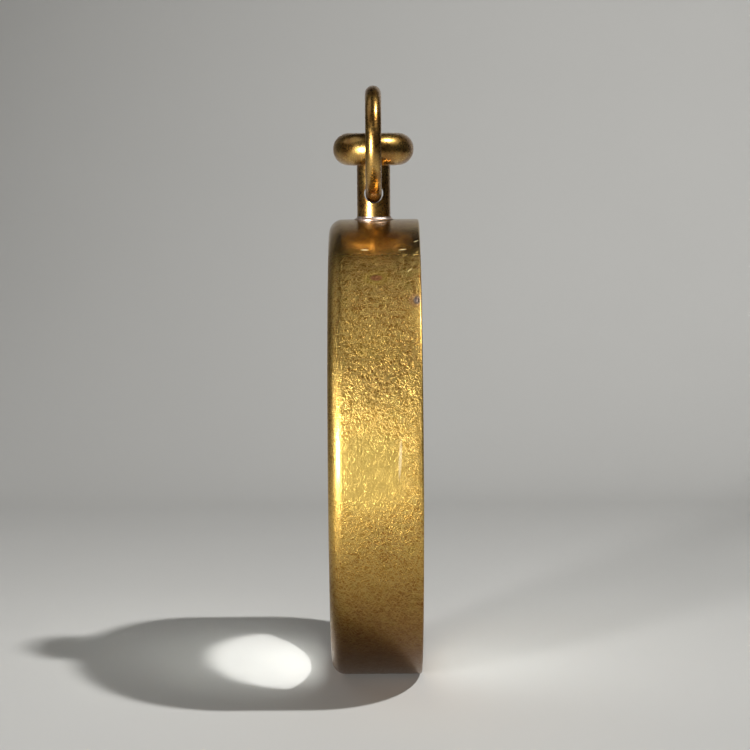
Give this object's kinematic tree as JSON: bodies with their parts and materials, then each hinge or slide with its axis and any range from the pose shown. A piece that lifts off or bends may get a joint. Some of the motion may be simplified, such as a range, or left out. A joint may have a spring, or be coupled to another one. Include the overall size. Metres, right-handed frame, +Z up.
{
  "type": "locket",
  "caption": "Round see-through brass locket: deep plain rim, convex lens in a pull-off bezel, flat back glass, post, knob and wire bow.",
  "frame": {"origin": "inside top of the bow, where the chain or ribbon that holds the locket bears", "axes": "+Z up from the drum through the post to the bow; -Y out of the lens face (front), +Y out of the back face along the drum's axis; +X across the face"},
  "size_m": [0.05, 0.0098, 0.0646],
  "materials": {
    "brass_case": "aged, satin with fine scratches",
    "brass_trim": "aged, polished by handling",
    "brass_inner": "clean, turned",
    "silver_solder": "dull grey, slightly pink",
    "spring_steel": "drawn wire",
    "lens_glass": "ground and polished",
    "plate_glass": "polished"
  },
  "bodies": {
    "drum": {"case_shell": "brass_case", "back_glass": "plate_glass", "back_glass_ring": "brass_inner", "inner_frame": "brass_inner", "pendant_post": "brass_trim", "solder_seam": "silver_solder", "crown_knob": "brass_trim"},
    "bezel": {"front_bezel": "brass_trim", "front_lens": "lens_glass", "lens_snap_ring": "spring_steel"},
    "bow": {"bow_ring": "brass_trim"}
  },
  "joints": [
    {"name": "bow_swing", "type": "hinge", "parent": "drum", "child": "bow", "pos_m": [0, 0, -0.00998], "axis": [1, 0, 0], "range_deg": [-110, 110]},
    {"name": "bezel_pull", "type": "slide", "parent": "drum", "child": "bezel", "axis": [0, -1, 0], "range_m": [0, 0.015]}
  ]
}
